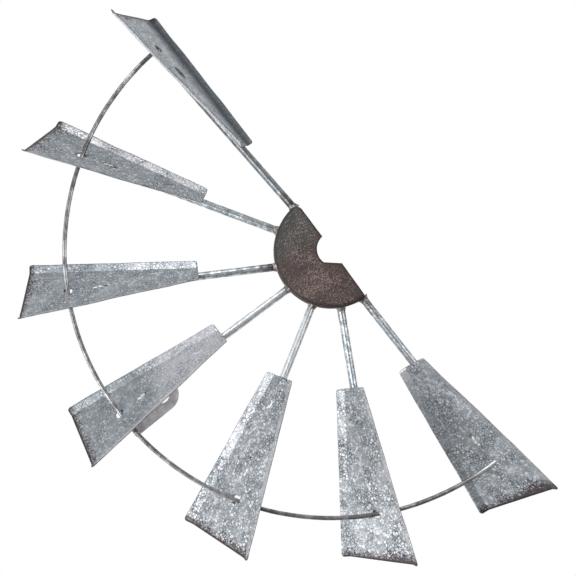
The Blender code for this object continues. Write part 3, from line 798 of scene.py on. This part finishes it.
def make_tab():
    """The tab: rays from its hole out to its outline, a straight-sided strap with a round end."""
    bearing = np.linspace(0, 2 * np.pi, 220, endpoint=False)
    cosine, sine = np.cos(bearing), np.sin(bearing)
    with np.errstate(divide="ignore", invalid="ignore"):
        left = np.where(cosine < 0, -TAB_EYE_RADIUS / cosine, np.inf)
        right = np.where(cosine > 0, TAB_STEM_SIDE / cosine, np.inf)
        top = np.where(sine > 0, TAB_LENGTH / sine, np.inf)
    stem = np.minimum(np.minimum(left, np.maximum(right, TAB_EYE_RADIUS)), top)
    on_stem = (cosine > 0) & (right * sine > 0) & (right > TAB_EYE_RADIUS)
    stem = np.where(on_stem, np.minimum(right, top), stem)
    outline = np.where(sine > 0, stem, TAB_EYE_RADIUS)
    spread = np.linspace(0, 1, 12)[:, None]
    radius = TAB_HOLE_RADIUS + (outline - TAB_HOLE_RADIUS) * spread
    grid = np.stack([radius * cosine, radius * sine, 0 * radius], -1)
    points = moved(TAB_FRAME, grid.reshape(-1, 3))
    faces = grid_faces(*radius.shape, wrap=True)
    tab = piece("tab_strap", points, faces, STRAP, ("hanging_tab",))
    add_wall(tab, TAB_SHEET, 0)


def bead_points(half, seed, lump, rows=12, columns=24):
    """A lumpy ellipsoid without its poles: circles of latitude, the radius rippled by a share of its size."""
    latitude = np.linspace(-np.pi / 2, np.pi / 2, rows + 2)[1:-1, None]
    longitude = np.linspace(0, 2 * np.pi, columns, endpoint=False)
    size = 1 + lump * ripple(3 * np.cos(longitude) + 0 * latitude, 3 * latitude + np.sin(longitude), seed)
    axis = np.sin(latitude) + 0 * longitude
    ball = np.stack([axis, np.cos(latitude) * np.cos(longitude), np.cos(latitude) * np.sin(longitude)], -1)
    return ball * size[..., None] * np.array(half)


def make_bead(name, node_name, half, matrix, material, seed, lump=BEAD_LUMP):
    """A weld bead with the given half sizes: a lumpy ellipsoid, closed at its poles."""
    points, faces, fans = capped(bead_points(half, seed, lump))
    piece(name, moved(matrix, points), faces, material, (node_name,), None, fans)


# The flush plug is the first blade's dark one, painted shade in its slot.
# How far a plug weld's middle lies in front of the sheet's, its half depth, its half width and its lumpiness.
FLUSH_PLUG = (0.0, 0.7 * MM, 2.3 * MM, 0.05)
PROUD_PLUG = (0.4 * MM, 1.2 * MM, 1.9 * MM, BEAD_LUMP)

# The plug weld in each blade's slot: how far outward of the slot's middle, its half length and its look.
PLUGS = (
    (0.0, 9.6 * MM, SHADE_DARK_WELD),
    (1.0 * MM, 4.5 * MM, BRIGHT_WELD),
    (0.0, 4.0 * MM, BRIGHT_WELD),
    (1.0 * MM, 3.5 * MM, BRIGHT_WELD),
    (5.5 * MM, 3.0 * MM, BRIGHT_WELD),
    (2.0 * MM, 6.0 * MM, BRIGHT_WELD),
    (1.0 * MM, 6.0 * MM, BRIGHT_WELD),
)


def make_arm(number, arm, ring_hole, plug):
    """One spoke and its blade, with their root, slot and seam welds and the ring's tack."""
    make_spoke(number, arm)
    make_blade(number, arm, ring_hole)
    make_root_weld(number, arm)
    blade = blade_frame(arm)
    outward, half_length, look = plug
    proud, deep, wide, lump = FLUSH_PLUG if look is SHADE_DARK_WELD else PROUD_PLUG
    slot = blade @ shift(SLOT[0] + outward, -proud, SLOT[1])
    half = (half_length, deep, wide)
    make_bead(f"slot_nugget_{number}", f"slot_weld_{number}", half, slot, look, 60 + number, lump)
    seam = arm_frame(arm) @ turn(math.radians(arm[2]), "X")
    seam = seam @ shift(*SEAM_BEAD_PLACE)
    make_bead(f"seam_bead_{number}", f"seam_weld_{number}", SEAM_BEAD, seam, BROWN_WELD, 80 + number)
    outward, _, _, face = ring_hole
    beside_ring = (RING_ROD_RADIUS + CLEARANCE + RING_BEAD[1]) * (-1 if outward >= 0 else 1)
    off_sheet = -face * (BLADE_SHEET / 2 + RING_BEAD[1])
    across = RING_HOLE_OVER - face * RING_BEAD_BESIDE
    tack = blade @ shift(RING_RADIUS - arm[3] + beside_ring, off_sheet, across)
    # The last tack is bright, a painted highlight at the ring's end; the others are dark, painted shade where
    # the ring enters its hole.
    look = BRIGHT_WELD if number == len(ARMS) else SHADE_DARK_WELD
    make_bead(f"ring_tack_bead_{number}", f"ring_tack_{number}", RING_BEAD, tack, look, 100 + number)


def make_tab_weld():
    """The bead between the tab and the ring, at the middle of the frame's own."""
    low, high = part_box("tab_weld")
    middle = (np.array(low) + np.array(high)) / 2
    matrix = TAB_FRAME.copy()
    matrix[:3, 3] = middle
    make_bead("tab_bead", "tab_weld", TAB_BEAD, matrix, STRAP_WELD, 9, 0.1)


make_hub()
make_ring()
make_tab()
make_tab_weld()
for index, (welded_arm, punched_hole, plug_weld) in enumerate(zip(ARMS, RING_HOLES, PLUGS), start=1):
    make_arm(index, welded_arm, punched_hole, plug_weld)


# ------------------------------------------------------------------------------- floor, light and camera


# The studio is set up round the camera, so directions in it are to the camera's right, up and toward it.
CAMERA_PLACE = HUB_CENTRE + np.array([-0.0171, -0.904, 0.1931])
CAMERA_TURN = (
    Matrix.Rotation(math.radians(-0.37), 3, "Z")
    @ Matrix.Rotation(math.radians(90 - 2.1), 3, "X")
    @ Matrix.Rotation(math.radians(-128.64), 3, "Z")
)
STUDIO_MIDDLE = Vector((0.007, 0.0, -0.12))
ROOM_LIGHT = 0.01
SWEEP_LIGHT = 1.0


def softbox(name, direction, power, size=1.1, distance=2.2):
    """A square light in a direction from the ornament, facing it."""
    light = bpy.data.lights.new(name, "AREA")
    light.shape = "SQUARE"
    light.size = size
    light.energy = power
    obj = bpy.data.objects.new(name, light)
    toward = CAMERA_TURN @ Vector(direction).normalized()
    obj.location = STUDIO_MIDDLE + toward * distance
    obj.rotation_euler = toward.to_track_quat("Z", "Y").to_euler()
    bpy.context.scene.collection.objects.link(obj)


def make_floor():
    """A pale square of floor, well below where the ornament hangs."""
    half, level = 1.0, -1.7
    corners = [(-half, -half, level), (half, -half, level), (half, half, level), (-half, half, level)]
    mesh = bpy.data.meshes.new("floor")
    mesh.from_pydata(corners, [], [(0, 1, 2, 3)])
    made = bpy.data.materials.new("pale_floor")
    made.use_nodes = True
    shader = made.node_tree.nodes["Principled BSDF"]
    shader.inputs["Base Color"].default_value = hex_colour("#F4F4F2")
    shader.inputs["Roughness"].default_value = 0.8
    mesh.materials.append(made)
    floor = bpy.data.objects.new("floor", mesh)
    bpy.context.scene.collection.objects.link(floor)


def make_world():
    """A white studio: pure white behind the ornament, a white sweep at the back and a dim room in front."""
    world = bpy.data.worlds.new("white_studio")
    bpy.context.scene.world = world
    world.use_nodes = True
    tree = world.node_tree
    tree.nodes.clear()
    toward = node(tree, "ShaderNodeSeparateXYZ", _0=node(tree, "ShaderNodeTexCoord").outputs["Generated"])
    level = node(tree, RAMP, stops=((0.0, ROOM_LIGHT), (0.25, SWEEP_LIGHT)), Fac=toward.outputs["Y"])
    seen = node(tree, "ShaderNodeBackground", Color=(1, 1, 1, 1), Strength=1.0)
    lit = node(tree, "ShaderNodeBackground", Color=level, Strength=1.0)
    path = node(tree, "ShaderNodeLightPath")
    both = node(tree, "ShaderNodeMixShader", _0=path.outputs["Is Camera Ray"], _1=lit, _2=seen)
    node(tree, "ShaderNodeOutputWorld", Surface=both)


def make_camera():
    """Almost straight on, a little above the hub, rolled so that the upright blade points down and left."""
    camera = bpy.data.cameras.new("camera")
    camera.lens = 46.2
    camera.sensor_width = 36
    camera.shift_x = 0.0908
    camera.shift_y = 0.0887
    camera.clip_start = 0.01
    obj = bpy.data.objects.new("camera", camera)
    obj.location = CAMERA_PLACE
    obj.rotation_euler = CAMERA_TURN.to_euler()
    bpy.context.scene.collection.objects.link(obj)
    bpy.context.scene.camera = obj


make_floor()
make_world()
softbox("side_front", (-0.80, 0.10, 0.60), 17)
softbox("high_side", (-0.22, 0.77, 0.60), 25)
softbox("side_low", (-0.51, -0.25, 0.83), 26)
softbox("side", (-0.94, -0.34, 0.10), 17)
softbox("low", (-0.50, -0.76, 0.30), 11)
softbox("right_front", (0.70, 0.10, 0.70), 16)
make_camera()
bpy.context.scene.view_settings.view_transform = "Standard"
